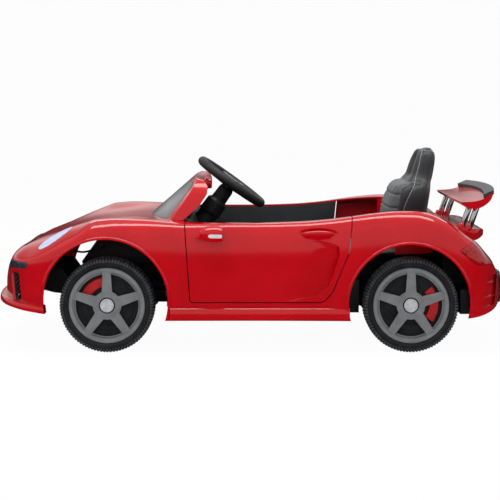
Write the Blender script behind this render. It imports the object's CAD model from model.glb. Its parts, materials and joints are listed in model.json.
# %% [markdown]
# # A child's electric ride-on car
#
# The car is a moulded red body on a black tub, with a padded seat, and with doors, wheels and steering that
# move on their own joints. The solid model gives every piece its size and place. This lesson gives the pieces
# their looks: smooth moulded skins, bevelled edges, treaded wheels, a stitched seat and a finish for every
# material.

# %% Load the solid model
import json
import math

import bmesh
import bpy
import numpy as np
from mathutils import Matrix, Vector
from mathutils.bvhtree import BVHTree

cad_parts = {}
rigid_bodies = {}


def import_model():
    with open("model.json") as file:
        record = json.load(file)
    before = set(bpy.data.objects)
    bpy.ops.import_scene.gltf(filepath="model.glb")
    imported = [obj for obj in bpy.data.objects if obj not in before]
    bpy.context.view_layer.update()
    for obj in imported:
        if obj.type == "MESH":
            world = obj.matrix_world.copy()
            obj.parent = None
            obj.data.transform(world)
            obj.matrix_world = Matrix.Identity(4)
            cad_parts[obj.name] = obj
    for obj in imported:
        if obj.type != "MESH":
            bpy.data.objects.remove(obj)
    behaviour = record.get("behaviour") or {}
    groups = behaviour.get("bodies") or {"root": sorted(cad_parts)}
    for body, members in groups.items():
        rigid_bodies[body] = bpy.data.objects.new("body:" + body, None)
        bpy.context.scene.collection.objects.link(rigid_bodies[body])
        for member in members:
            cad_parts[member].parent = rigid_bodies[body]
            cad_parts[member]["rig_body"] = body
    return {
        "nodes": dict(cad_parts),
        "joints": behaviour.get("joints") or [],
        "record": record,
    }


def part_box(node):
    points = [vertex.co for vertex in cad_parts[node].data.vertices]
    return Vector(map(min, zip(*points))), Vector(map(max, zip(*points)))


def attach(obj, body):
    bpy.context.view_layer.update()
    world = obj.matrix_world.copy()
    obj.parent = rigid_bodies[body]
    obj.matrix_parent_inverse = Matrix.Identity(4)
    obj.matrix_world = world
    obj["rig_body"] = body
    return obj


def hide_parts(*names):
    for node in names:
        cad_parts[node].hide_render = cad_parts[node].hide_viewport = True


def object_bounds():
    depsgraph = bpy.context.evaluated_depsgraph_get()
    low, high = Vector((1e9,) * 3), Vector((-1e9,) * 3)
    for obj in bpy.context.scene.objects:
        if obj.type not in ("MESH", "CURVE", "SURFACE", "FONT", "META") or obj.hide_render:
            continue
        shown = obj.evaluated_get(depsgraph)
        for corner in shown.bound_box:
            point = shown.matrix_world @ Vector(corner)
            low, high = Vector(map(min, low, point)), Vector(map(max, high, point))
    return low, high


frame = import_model()
nodes = frame["nodes"]
cad_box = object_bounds()
scene = bpy.context.scene
MM = 0.001
print("nodes", len(nodes), "box", [round(v, 3) for corner in cad_box for v in corner])

# %% [markdown]
# ## Camera, floor and light
#
# The camera stands where the photographer stood: square to the car's left side, a little above it, with a
# long lens. A bright sky alone would light the car evenly, but flat. A paper sweep and four soft lamps give
# the plain light of a product picture, and each lamp can be kept out of the shine.

# %% Camera
image_side = 500
focal_pixels = 1430.0
sensor = 36.0
camera_place = Vector((-5.4, -3234.0, 543.0)) * MM
camera_down = math.radians(6.248)
camera = bpy.data.objects.new("camera", bpy.data.cameras.new("camera"))
camera.data.sensor_width = sensor
camera.data.lens = sensor * focal_pixels / image_side
camera.location = camera_place
camera.rotation_euler = (math.pi / 2 - camera_down, 0, 0)
scene.collection.objects.link(camera)
scene.camera = camera
scene.view_settings.view_transform = "Standard"
print("lens", round(camera.data.lens, 2), "mm")


# %% Small tools for colours and node trees
def linear(code):
    """Linear colour, with alpha, of an sRGB hex value."""
    parts = [int(code[i:i + 2], 16) / 255 for i in (1, 3, 5)]
    return tuple(c / 12.92 if c <= 0.04045 else ((c + 0.055) / 1.055) ** 2.4 for c in parts) + (1.0,)


def add(tree, kind, inputs=None, stops=(), **settings):
    """Adds a node; an input that is a socket is linked, any other is set, and a ramp takes its stops."""
    node = tree.nodes.new(kind)
    for name, value in settings.items():
        setattr(node, name, value)
    for name, value in (inputs or {}).items():
        if isinstance(value, bpy.types.NodeSocket):
            tree.links.new(value, node.inputs[name])
        else:
            node.inputs[name].default_value = value
    if stops:
        marks = node.color_ramp.elements
        for mark, (position, code) in zip(marks, (stops[0], stops[-1])):
            mark.position, mark.color = position, linear(code)
        for position, code in stops[1:-1]:
            marks.new(position).color = linear(code)
    return node


def per_mm(size):
    """Texture scale at which one feature is a size in millimetres."""
    return 1 / (size * MM)


print("a pattern of 1 mm has the texture scale", per_mm(1))

# %% Floor and backdrop
paper_top = 10.0
paper_shine = [(0.03, "#191919"), (0.24, "#E7E7E7"), (0.42, "#A0A0A0"), (0.8, "#666666")]
white_share, shine_share = 0.97, 0.99


def floor_finish():
    """White paper: white to the lens, dim in the car's shine, and lit where a shadow can fall."""
    material = bpy.data.materials.new("white_paper")
    material.use_nodes = True
    tree = material.node_tree
    tree.nodes.clear()
    paper = add(tree, "ShaderNodeBsdfDiffuse", {"Color": linear("#F4F4F4")})
    white = add(tree, "ShaderNodeEmission", {"Strength": 1.0})
    spot = add(tree, "ShaderNodeNewGeometry").outputs["Position"]
    height = add(tree, "ShaderNodeSeparateXYZ", {"Vector": spot}).outputs["Z"]
    climb = add(tree, "ShaderNodeMapRange", {"Value": height, "From Max": paper_top})
    ramp = add(tree, "ShaderNodeValToRGB", {"Fac": climb.outputs["Result"]}, paper_shine)
    dim = add(tree, "ShaderNodeEmission", {"Color": ramp.outputs["Color"]})
    rays = add(tree, "ShaderNodeLightPath")
    seen = add(tree, "ShaderNodeMath", {0: rays.outputs["Is Camera Ray"], 1: white_share},
               operation="MULTIPLY")
    shine = add(tree, "ShaderNodeMath", {0: rays.outputs["Is Glossy Ray"], 1: shine_share},
                operation="MULTIPLY")
    lit = add(tree, "ShaderNodeMixShader", {0: seen.outputs[0], 1: paper.outputs[0], 2: white.outputs[0]})
    whole = add(tree, "ShaderNodeMixShader", {0: shine.outputs[0], 1: lit.outputs[0], 2: dim.outputs[0]})
    add(tree, "ShaderNodeOutputMaterial", {"Surface": whole.outputs[0]})
    return material


def sweep(width, front, back, height, bend, steps=12):
    """Paper sweep: a floor that curves up into a wall behind the car."""
    profile = [(front, 0.0), (back - bend, 0.0)]
    for i in range(1, steps + 1):
        a = math.pi / 2 * i / steps
        profile.append((back - bend + bend * math.sin(a), bend - bend * math.cos(a)))
    profile.append((back, height))
    points = [(s * width / 2, y, z) for y, z in profile for s in (-1, 1)]
    faces = [(2 * i, 2 * i + 1, 2 * i + 3, 2 * i + 2) for i in range(len(profile) - 1)]
    mesh = bpy.data.meshes.new("paper_sweep")
    mesh.from_pydata(points, [], faces)
    mesh.polygons.foreach_set("use_smooth", [True] * len(mesh.polygons))
    mesh.materials.append(floor_finish())
    paper = bpy.data.objects.new("paper_sweep", mesh)
    scene.collection.objects.link(paper)


sweep(width=24.0, front=-9.0, back=9.0, height=9.0, bend=3.0)
print("paper sweep ready")


# %% Sky and lamps
def lamp(name, place, aim, size, power, in_shine=True):
    """Large soft lamp that points at a spot; one that fills in only can stay out of the shine."""
    light = bpy.data.lights.new(name, "AREA")
    light.shape = "RECTANGLE"
    light.size, light.size_y = size
    light.energy = power
    thing = bpy.data.objects.new(name, light)
    thing.location = place
    thing.rotation_euler = (Vector(aim) - Vector(place)).to_track_quat("-Z", "Y").to_euler()
    thing.visible_glossy = in_shine
    scene.collection.objects.link(thing)


sky_plain, sky_more_in_shine = 0.36, 0.14
world = bpy.data.worlds.new("studio")
scene.world = world
world.use_nodes = True
sky = world.node_tree.nodes["Background"]
sky.inputs["Color"].default_value = linear("#FFFFFF")
sky_rays = add(world.node_tree, "ShaderNodeLightPath")
sky_levels = {0: sky_rays.outputs["Is Glossy Ray"], 1: sky_more_in_shine, 2: sky_plain}
sky_level = add(world.node_tree, "ShaderNodeMath", sky_levels, operation="MULTIPLY_ADD")
world.node_tree.links.new(sky_level.outputs[0], sky.inputs["Strength"])
lamp("top_softbox", (0.0, -0.25, 2.5), (0, 0, 0.2), (3.0, 0.9), 46)
lamp("side_fill", (-0.6, -3.6, 1.9), (0, 0, 0.2), (2.2, 1.2), 25, in_shine=False)
lamp("shoulder_strip", (-0.3, -1.3, 2.3), (0, 0, 0.25), (1.8, 0.14), 6, in_shine=False)
lamp("back_strip", (0.2, 2.6, 1.7), (0, 0, 0.2), (3.4, 0.5), 10)
print("stage ready")

# %% [markdown]
# ## Finishes
#
# Nearly all of the car is moulded plastic, and what tells the pieces apart is how the mould was polished. The
# red body is high-gloss ABS, the tub and dashboard are grained polypropylene, and the wheel covers are satin.
# Picture textures would need unwrapped pieces, so each finish is worked out from the object's own
# coordinates. It starts from the real material, and its pattern sizes are real sizes in millimetres.

# %% A principled shader with its texture coordinates
def finish(name, inputs=None):
    """New material with some shader inputs set; returns it with its tree, its shader and its coordinates."""
    material = bpy.data.materials.new(name)
    material.use_nodes = True
    tree = material.node_tree
    shader = tree.nodes["Principled BSDF"]
    for label, value in (inputs or {}).items():
        shader.inputs[label].default_value = value
    return material, tree, shader, add(tree, "ShaderNodeTexCoord").outputs["Object"]


def two_tone(tree, shader, pattern, dark, light, low=0.35, high=0.65):
    """Colour that wanders between two tones as a pattern goes from a low to a high value."""
    ramp = add(tree, "ShaderNodeValToRGB", {"Fac": pattern}, [(low, dark), (high, light)])
    tree.links.new(ramp.outputs["Color"], shader.inputs["Base Color"])


def roughness_band(tree, shader, pattern, low, high):
    """Roughness that follows a pattern between two values."""
    band = add(tree, "ShaderNodeMapRange", {"Value": pattern, "To Min": low, "To Max": high})
    tree.links.new(band.outputs["Result"], shader.inputs["Roughness"])


def relief(tree, shader, pattern, depth, strength=1.0):
    """Fine surface relief, a depth in millimetres."""
    bump = add(tree, "ShaderNodeBump", {"Height": pattern, "Distance": depth * MM, "Strength": strength})
    tree.links.new(bump.outputs["Normal"], shader.inputs["Normal"])


print("finish tools ready")


# %% Red ABS, black polypropylene and satin grey
def red_abs():
    """High-gloss moulded ABS: deep even red under a clear, slightly wavy surface."""
    material, tree, shader, coords = finish("red_gloss_abs",
                                            {"IOR": 1.53, "Coat Weight": 0.35, "Coat Roughness": 0.06})
    flow = add(tree, "ShaderNodeTexNoise", {"Vector": coords, "Scale": per_mm(90), "Detail": 2.0})
    peel = add(tree, "ShaderNodeTexNoise", {"Vector": coords, "Scale": per_mm(5), "Detail": 1.0})
    two_tone(tree, shader, flow.outputs["Fac"], "#C40010", "#CE0216")
    roughness_band(tree, shader, peel.outputs["Fac"], 0.1, 0.16)
    relief(tree, shader, peel.outputs["Fac"], 0.02)
    return material


def black_pp(name="black_grained_pp", tone="#141517", light="#1D1F22", grain=1.1, low=0.42, high=0.6):
    """Moulded polypropylene with a spark-eroded grain, which breaks the shine into a soft sheen."""
    material, tree, shader, coords = finish(name, {"IOR": 1.49})
    spots = add(tree, "ShaderNodeTexVoronoi", {"Vector": coords, "Scale": per_mm(grain)})
    cloud = add(tree, "ShaderNodeTexNoise", {"Vector": coords, "Scale": per_mm(40), "Detail": 3.0})
    two_tone(tree, shader, cloud.outputs["Fac"], tone, light)
    roughness_band(tree, shader, cloud.outputs["Fac"], low, high)
    relief(tree, shader, spots.outputs["Distance"], 0.12, 0.5)
    return material


def satin_grey():
    """Wheel covers: grey ABS with a satin mould finish and a faint flow pattern."""
    material, tree, shader, coords = finish("grey_satin_abs")
    flow = add(tree, "ShaderNodeTexNoise", {"Vector": coords, "Scale": per_mm(26), "Detail": 4.0})
    grit = add(tree, "ShaderNodeTexNoise", {"Vector": coords, "Scale": per_mm(0.9), "Detail": 1.0})
    two_tone(tree, shader, flow.outputs["Fac"], "#77797B", "#86888A")
    roughness_band(tree, shader, grit.outputs["Fac"], 0.36, 0.52)
    relief(tree, shader, grit.outputs["Fac"], 0.03, 0.5)
    return material


def tyre_plastic(name, dark, light):
    """Hollow blow-moulded wheel: dull and porous, black on its walls and scuffed paler on its tread."""
    material, tree, shader, coords = finish(name)
    dust = add(tree, "ShaderNodeTexNoise", {"Vector": coords, "Scale": per_mm(18), "Detail": 5.0})
    pores = add(tree, "ShaderNodeTexNoise", {"Vector": coords, "Scale": per_mm(1.4), "Detail": 2.0})
    two_tone(tree, shader, dust.outputs["Fac"], dark, light)
    roughness_band(tree, shader, pores.outputs["Fac"], 0.5, 0.72)
    relief(tree, shader, pores.outputs["Fac"], 0.1, 0.6)
    return material


paints = {
    "red": red_abs(),
    "black": black_pp(),
    "soft_black": black_pp("black_soft_touch", "#1B1C1E", "#232528", 1.6, 0.5, 0.66),
    "gloss_black": black_pp("black_gloss_abs", "#0D0E10", "#15171A", 3.0, 0.16, 0.26),
    "flap": black_pp("grey_grained_flap", "#35373B", "#424448", 1.4, 0.4, 0.55),
    "grey": satin_grey(),
    "tyre": tyre_plastic("black_blown_wheel", "#14171A", "#1E2225"),
    "tread": tyre_plastic("scuffed_tread", "#3B3D41", "#4C4E52"),
}
print("moulded plastics", len(paints))


# %% Chrome, steel, tinted panel and lamps
def chrome_plate(name="chrome_plate", tone="#D9DBDD", light="#E6E7E8", low=0.05, high=0.13):
    """Chrome on plastic: a mirror with faint plating waves."""
    material, tree, shader, coords = finish(name, {"Metallic": 1.0})
    waves = add(tree, "ShaderNodeTexNoise", {"Vector": coords, "Scale": per_mm(22), "Detail": 1.0})
    two_tone(tree, shader, waves.outputs["Fac"], tone, light)
    roughness_band(tree, shader, waves.outputs["Fac"], low, high)
    relief(tree, shader, waves.outputs["Fac"], 0.05, 0.4)
    return material


def zinc_steel():
    """Zinc-plated steel of shafts and axles: grey metal with crystal blotches."""
    material, tree, shader, coords = finish("zinc_plated_steel", {"Metallic": 1.0})
    blotch = add(tree, "ShaderNodeTexVoronoi", {"Vector": coords, "Scale": per_mm(4)})
    two_tone(tree, shader, blotch.outputs["Distance"], "#8A8D90", "#A6A9AB")
    roughness_band(tree, shader, blotch.outputs["Distance"], 0.28, 0.45)
    return material


def tinted_panel():
    """Windshield panel: smoked glossy plastic, printed dark at its edge and paler in the middle."""
    material, tree, shader, coords = finish("smoked_panel")
    place = add(tree, "ShaderNodeSeparateXYZ", {"Vector": coords})
    low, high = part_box("windshield")
    climb = add(tree, "ShaderNodeMapRange", {"Value": place.outputs["X"], "From Min": low.x,
                                             "From Max": high.x})
    smoke = [(0.02, "#26282B"), (0.42, "#7C7E82"), (0.97, "#4A4C50")]
    ramp = add(tree, "ShaderNodeValToRGB", {"Fac": climb.outputs["Result"]}, smoke)
    tree.links.new(ramp.outputs["Color"], shader.inputs["Base Color"])
    swirl = add(tree, "ShaderNodeTexNoise", {"Vector": coords, "Scale": per_mm(30), "Detail": 2.0})
    roughness_band(tree, shader, swirl.outputs["Fac"], 0.1, 0.2)
    return material


def clear_lens():
    """Headlight cover: clear polycarbonate over a lit cool-white reflector."""
    glow = {"Roughness": 0.08, "Emission Color": linear("#A9B8F5"), "Emission Strength": 0.35}
    material, tree, shader, coords = finish("clear_lamp_lens", glow)
    flutes = add(tree, "ShaderNodeTexWave", {"Vector": coords, "Scale": per_mm(9), "Distortion": 3.0},
                 bands_direction="DIAGONAL")
    two_tone(tree, shader, flutes.outputs["Fac"], "#8FA0EC", "#D3DAFA", 0.2, 0.8)
    relief(tree, shader, flutes.outputs["Fac"], 0.4, 0.4)
    return material


def red_lens():
    """Tail lamp: deep red clear plastic with prism cells behind it."""
    material, tree, shader, coords = finish("red_lamp_lens", {"Roughness": 0.06, "Coat Weight": 0.6})
    cells = add(tree, "ShaderNodeTexVoronoi", {"Vector": coords, "Scale": per_mm(6)})
    two_tone(tree, shader, cells.outputs["Distance"], "#7A0308", "#B20A12", 0.1, 0.6)
    relief(tree, shader, cells.outputs["Distance"], 0.3, 0.3)
    return material


paints.update({
    "chrome": chrome_plate(),
    "silver": chrome_plate("silver_trim", "#8E9194", "#A3A6A9", 0.25, 0.4),
    "steel": zinc_steel(),
    "panel": tinted_panel(),
    "lens": clear_lens(),
    "tail": red_lens(),
})
print("with metals and clear plastics", len(paints))


# %% Seat cover, thread and plain small finishes
def pu_leather(name, dark, light):
    """Coated seat cover: pebbled grain about 2 mm across, drawn a little coarse so that it shows."""
    material, tree, shader, coords = finish(name, {"Sheen Weight": 0.15})
    pebble = add(tree, "ShaderNodeTexVoronoi", {"Vector": coords, "Scale": per_mm(2.2)})
    crease = add(tree, "ShaderNodeTexNoise", {"Vector": coords, "Scale": per_mm(35), "Detail": 4.0})
    two_tone(tree, shader, crease.outputs["Fac"], dark, light)
    roughness_band(tree, shader, crease.outputs["Fac"], 0.38, 0.55)
    relief(tree, shader, pebble.outputs["Distance"], 0.25, 0.5)
    return material


def coated(name, dark, light, low=0.3, high=0.45, feature=12.0):
    """Small painted or dyed piece with a soft tone change."""
    material, tree, shader, coords = finish(name)
    cloud = add(tree, "ShaderNodeTexNoise", {"Vector": coords, "Scale": per_mm(feature), "Detail": 3.0})
    two_tone(tree, shader, cloud.outputs["Fac"], dark, light)
    roughness_band(tree, shader, cloud.outputs["Fac"], low, high)
    return material


paints.update({
    "seat_black": pu_leather("black_seat_cover", "#1F2124", "#2A2C2F"),
    "seat_grey": pu_leather("grey_seat_cover", "#434548", "#505255"),
    "thread": coated("pale_thread", "#C9CACB", "#DCDDDD", 0.6, 0.8, 3.0),
    "dark_lens": coated("dark_marker_lens", "#2C2E33", "#3A3D44", 0.1, 0.18),
    "white": coated("white_reflector", "#D8D9DC", "#ECEDEF", 0.15, 0.25),
    "lead": coated("black_lead_cover", "#18191B", "#222325", 0.45, 0.6),
    "caliper": coated("red_painted_insert", "#B00A12", "#C41018", 0.3, 0.45, 20.0),
    "button": coated("red_button", "#B5121A", "#C71C24", 0.2, 0.3),
    "cap": coated("bright_satin_cap", "#B9BCC0", "#CDD0D3", 0.2, 0.3, 8.0),
})
print("finishes", len(paints))

# %% [markdown]
# ## From solid to finished piece
#
# A rigid solid that already has the right shape only needs what a mould gives it: smooth curved faces and
# slightly rounded edges. A copy of the solid is welded into one mesh, its flat faces are merged, and a small
# bevel breaks the edges, because real edges always catch a line of light. A bevel drawn by the shader would
# cost less, but the exported meshes would not have it.

# %% Tools that make pieces
smooth_limit = math.radians(32)
flat_limit = math.radians(0.8)
weld_reach = 0.02 * MM


def turns(count):
    """Angles of a full turn in even steps."""
    return [math.tau * i / count for i in range(count)]


def weld(bm):
    """Joins points that lie on each other."""
    bmesh.ops.remove_doubles(bm, verts=bm.verts, dist=weld_reach)


def shade(mesh, limit=smooth_limit):
    """Smooth shading with sharp edges where faces meet at more than a limit."""
    mesh.polygons.foreach_set("use_smooth", [True] * len(mesh.polygons))
    mesh.set_sharp_from_angle(angle=limit)


def place(piece, body, paint, slot=None, stands_for=()):
    """Paints a piece and lets it ride on a body; it may stand for solids and takes a slot."""
    if paint:
        piece.data.materials.clear()
        piece.data.materials.append(paints[paint])
    if piece.name not in scene.collection.objects:
        scene.collection.objects.link(piece)
    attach(piece, body)
    if stands_for:
        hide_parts(*stands_for)
    return piece


def slot_of_node(node):
    """Material slot that the record gives a solid."""
    rows = frame["record"]["subparts"]
    return next(r["material_slot"] for r in rows if r["node"] == node)


def with_bevel(piece, width, segments=2):
    """Rounds a piece's edges and makes the result its own mesh."""
    bevel = piece.modifiers.new("edge", "BEVEL")
    bevel.width = width * MM
    bevel.segments = segments
    bevel.limit_method = "ANGLE"
    bevel.angle_limit = smooth_limit
    bevel.use_clamp_overlap = True
    return plain(piece)


def plain(piece):
    """Turns a piece with modifiers into a plain mesh."""
    if piece.name not in scene.collection.objects:
        scene.collection.objects.link(piece)
    graph = bpy.context.evaluated_depsgraph_get()
    old = piece.data
    made = bpy.data.meshes.new_from_object(piece.evaluated_get(graph))
    piece.modifiers.clear()
    piece.data = made
    bpy.data.meshes.remove(old)
    return piece


def two_paints(piece, first, second, takes_second):
    """Gives a piece two finishes; a test of each face says which faces take the second one."""
    piece.data.materials.clear()
    for paint in (first, second):
        piece.data.materials.append(paints[paint])
    for face in piece.data.polygons:
        face.material_index = int(takes_second(face))


def welded_copy(node, name):
    """Copy of a solid as one welded mesh, with its flat faces merged."""
    bm = bmesh.new()
    bm.from_mesh(nodes[node].data)
    weld(bm)
    bmesh.ops.dissolve_limit(bm, angle_limit=flat_limit, verts=bm.verts, edges=bm.edges)
    mesh = bpy.data.meshes.new(name)
    bm.to_mesh(mesh)
    bm.free()
    return bpy.data.objects.new(name, mesh)


def moulded(node, paint, bevel):
    """Finished copy of a solid: smooth, with its edges rounded."""
    piece = welded_copy(node, node + "_moulding")
    shade(piece.data)
    if bevel:
        with_bevel(piece, bevel)
        shade(piece.data)
    return place(piece, nodes[node]["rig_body"], paint, slot_of_node(node), [node])


def paint_node(node, paint):
    """A solid that shows as it is gets a finish."""
    mesh = nodes[node].data
    mesh.materials.clear()
    mesh.materials.append(paints[paint])


def new_piece(name, points, faces):
    """Mesh object from points in millimetres, with its faces turned outwards."""
    mesh = bpy.data.meshes.new(name)
    mesh.from_pydata([tuple(MM * v for v in p) for p in points], [], faces)
    bm = bmesh.new()
    bm.from_mesh(mesh)
    weld(bm)
    bmesh.ops.recalc_face_normals(bm, faces=bm.faces)
    bm.to_mesh(mesh)
    bm.free()
    return bpy.data.objects.new(name, mesh)


def joined(first, *others):
    """Adds the meshes of other pieces to the first one."""
    bm = bmesh.new()
    for piece in (first,) + others:
        bm.from_mesh(piece.data)
    bm.to_mesh(first.data)
    bm.free()
    for piece in others:
        bpy.data.objects.remove(piece)
    return first


print("edges sharper than", round(math.degrees(smooth_limit)), "degrees are rounded")


# %% Carving with other shapes
straight_limit = math.pi / 2 - 0.01


def carve(piece, cutters, mode="DIFFERENCE"):
    """Cuts other shapes out of a piece, or keeps only what lies inside them."""
    scene.collection.objects.link(piece)
    for cutter in cutters:
        scene.collection.objects.link(cutter)
        cut = piece.modifiers.new("cut", "BOOLEAN")
        cut.operation = mode
        cut.solver = "MANIFOLD"
        cut.object = cutter
    plain(piece)
    for cutter in cutters:
        bpy.data.objects.remove(cutter)
    scene.collection.objects.unlink(piece)
    return piece


def rounded(corners, steps=7):
    """Outline points through (a, b, radius) corners, each rounded by an arc."""
    count = len(corners)
    points = []
    for i, (a, b, radius) in enumerate(corners):
        here = Vector((a, b))
        back = (Vector(corners[i - 1][:2]) - here).normalized()
        ahead = (Vector(corners[(i + 1) % count][:2]) - here).normalized()
        half = back.angle(ahead) / 2
        if radius <= 0 or half > straight_limit:
            points.append(tuple(here))
            continue
        centre = here + (back + ahead).normalized() * (radius / math.sin(half))
        start = here + back * (radius / math.tan(half)) - centre
        end = here + ahead * (radius / math.tan(half)) - centre
        turn = start.angle_signed(end)
        for k in range(steps + 1):
            a0 = -turn * k / steps
            c, s = math.cos(a0), math.sin(a0)
            points.append((centre.x + start.x * c - start.y * s, centre.y + start.x * s + start.y * c))
    return points


def grown(corners, by):
    """The same corners moved outwards by a distance."""
    count = len(corners)
    area = sum(corners[i - 1][0] * corners[i][1] - corners[i][0] * corners[i - 1][1] for i in range(count))
    side = 1 if area > 0 else -1
    result = []
    for i, (a, b, radius) in enumerate(corners):
        before = Vector((a - corners[i - 1][0], b - corners[i - 1][1])).normalized()
        after = Vector((corners[(i + 1) % count][0] - a, corners[(i + 1) % count][1] - b)).normalized()
        n1 = Vector((before.y, -before.x)) * side
        n2 = Vector((after.y, -after.x)) * side
        move = (n1 + n2) * (by / (1 + n1.dot(n2)))
        result.append((a + move.x, b + move.y, max(radius + by, 0) if radius > 0 else 0))
    return result


def prism(points, spot, near, far):
    """Closed block: an outline repeated at two distances; spot turns (a, b, distance) into a place."""
    count = len(points)
    verts = [spot(a, b, d) for d in (near, far) for a, b in points]
    faces = [tuple(range(count)), tuple(range(2 * count - 1, count - 1, -1))]
    faces += [(i, (i + 1) % count, count + (i + 1) % count, count + i) for i in range(count)]
    return new_piece("block", verts, faces)


def side_spot(a, b, d):
    """Place of a point of an outline seen from the side."""
    return (a, d, b)


def top_spot(a, b, d):
    """Place of a point of an outline seen from above."""
    return (a, b, d)


def nose_spot(side):
    """Gives the function that places an outline seen from the front, on one side of the car."""
    return lambda a, b, d: (d, side * a, b)


print("carving tools ready")

# %% [markdown]
# ## Repeated pieces
#
# Tread blocks, the dots round a hub and the stitches of a seam are one small shape each, repeated by a rule.
# An array modifier would do for one row, but a tree of Geometry Nodes has named inputs, so the same two trees
# serve all of them: one sets pieces round an axle, and the other along a line.

# %% Repeating pieces with Geometry Nodes
def pattern(name, sockets):
    """Empty geometry tree with named inputs; returns it with its input node."""
    tree = bpy.data.node_groups.new(name, "GeometryNodeTree")
    for label, kind in [("Geometry", "Geometry")] + sockets + [("Piece", "Object"), ("Finish", "Material")]:
        tree.interface.new_socket(label, in_out="INPUT", socket_type="NodeSocket" + kind)
    tree.interface.new_socket("Geometry", in_out="OUTPUT", socket_type="NodeSocketGeometry")
    return tree, add(tree, "NodeGroupInput").outputs


def end_pattern(tree, given, points, turn):
    """Sets the piece on every point, makes the copies real and gives them their finish."""
    piece = add(tree, "GeometryNodeObjectInfo", {"Object": given["Piece"]})
    copies = add(tree, "GeometryNodeInstanceOnPoints",
                 {"Points": points, "Instance": piece.outputs["Geometry"], "Rotation": turn})
    real = add(tree, "GeometryNodeRealizeInstances", {"Geometry": copies.outputs["Instances"]})
    dressed = add(tree, "GeometryNodeSetMaterial", {"Geometry": real.outputs[0], "Material": given["Finish"]})
    add(tree, "NodeGroupOutput", {"Geometry": dressed.outputs[0]})
    return tree


def ring_pattern():
    """Copies round the Y axis, as tread blocks stand round a wheel."""
    tree, given = pattern("pieces_round_an_axle", [("Count", "Int"), ("Radius", "Float"), ("Along", "Float"),
                                                   ("Shift", "Float")])
    points = add(tree, "GeometryNodePoints", {"Count": given["Count"]})
    index = add(tree, "GeometryNodeInputIndex").outputs[0]
    step = add(tree, "ShaderNodeMath", {0: index, 1: given["Shift"]}, operation="ADD").outputs[0]
    share = add(tree, "ShaderNodeMath", {0: step, 1: given["Count"]}, operation="DIVIDE").outputs[0]
    angle = add(tree, "ShaderNodeMath", {0: share, 1: math.tau}, operation="MULTIPLY").outputs[0]
    arm = add(tree, "ShaderNodeCombineXYZ", {"Y": given["Along"], "Z": given["Radius"]}).outputs[0]
    spot = add(tree, "ShaderNodeVectorRotate", {"Vector": arm, "Angle": angle},
               rotation_type="Y_AXIS").outputs[0]
    placed = add(tree, "GeometryNodeSetPosition", {"Geometry": points.outputs[0], "Position": spot})
    turn = add(tree, "ShaderNodeCombineXYZ", {"Y": angle}).outputs[0]
    return end_pattern(tree, given, placed.outputs[0], turn)


def row_pattern():
    """Copies along a line at an even spacing, as stitches run along a seam."""
    tree, given = pattern("pieces_along_a_line", [("Spacing", "Float")])
    line = add(tree, "GeometryNodeMeshToCurve", {"Mesh": given["Geometry"]})
    spots = add(tree, "GeometryNodeCurveToPoints", {"Curve": line.outputs[0], "Length": given["Spacing"]},
                mode="LENGTH")
    return end_pattern(tree, given, spots.outputs["Points"], spots.outputs["Rotation"])


def repeated(name, tree, piece, paint, line=(), **sizes):
    """Runs a pattern and keeps the result as a plain mesh."""
    mesh = bpy.data.meshes.new(name)
    mesh.from_pydata([tuple(p) for p in line], [(i, i + 1) for i in range(len(line) - 1)], [])
    thing = bpy.data.objects.new(name, mesh)
    if piece.name not in scene.collection.objects:
        scene.collection.objects.link(piece)
    made = thing.modifiers.new("pattern", "NODES")
    made.node_group = tree
    values = dict(sizes, Piece=piece, Finish=paints[paint])
    for item in tree.interface.items_tree:
        if item.in_out == "INPUT" and item.name in values:
            made[item.identifier] = values[item.name]
    plain(thing)
    bpy.data.objects.remove(piece)
    return thing


around, along_line = ring_pattern(), row_pattern()
print("tools ready")

# %% [markdown]
# ## Lamp leads
#
# Thin leads hang behind the lamps and show through the wheel arches. Each is one smooth spline over its
# route, because a chain of straight rods would kink at every point.

# %% Leads in the arches
sides = ((1, "right"), (-1, "left"))
lead_radius = 2.2
lead_routes = {
    "rear_a": ([(466, 268, 208.4), (446, 232, 214), (424, 166, 212), (410, 134, 184), (408, 124, 151.2)],
               0.186),
    "rear_b": ([(459, 271, 200.4), (438, 236, 206), (414, 172, 204), (400, 136, 182), (398, 124, 151.2)],
               0.185),
    "front": ([(-415, 192, 221), (-398, 176, 212), (-372, 154, 200), (-350, 152.4, 204), (-318, 154, 214)],
              0.114),
}
for side, word in sides:
    for name, (route, length) in lead_routes.items():
        curve = bpy.data.curves.new("lead_" + name + "_" + word, "CURVE")
        curve.dimensions = "3D"
        curve.bevel_depth = lead_radius * MM
        curve.bevel_resolution = 4
        curve.use_fill_caps = True
        curve.materials.append(paints["lead"])
        spline = curve.splines.new("NURBS")
        spline.points.add(len(route) - 1)
        for point, (x, y, z) in zip(spline.points, route):
            point.co = (x * MM, side * y * MM, z * MM, 1)
        spline.order_u = 3
        spline.use_endpoint_u = True
        lead = bpy.data.objects.new(curve.name, curve)
        scene.collection.objects.link(lead)
        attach(lead, "body")
        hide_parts("leads")
print("leads", 2 * len(lead_routes))

# %% [markdown]
# ## The red body
#
# The real body is blow-moulded in one piece, so its fenders, hood and sides flow into each other. A box could
# be subdivided and pushed into that form by hand. Here it is a grid of smooth cross-sections that change
# along the car: rails give the width, the crest of the fenders and the centre line, and every cross-section
# is one spline over them. The openings are then carved out of that skin with the same outlines that the
# doors, lamps and grilles have, so that all of them sit flush with an even seam.

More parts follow.
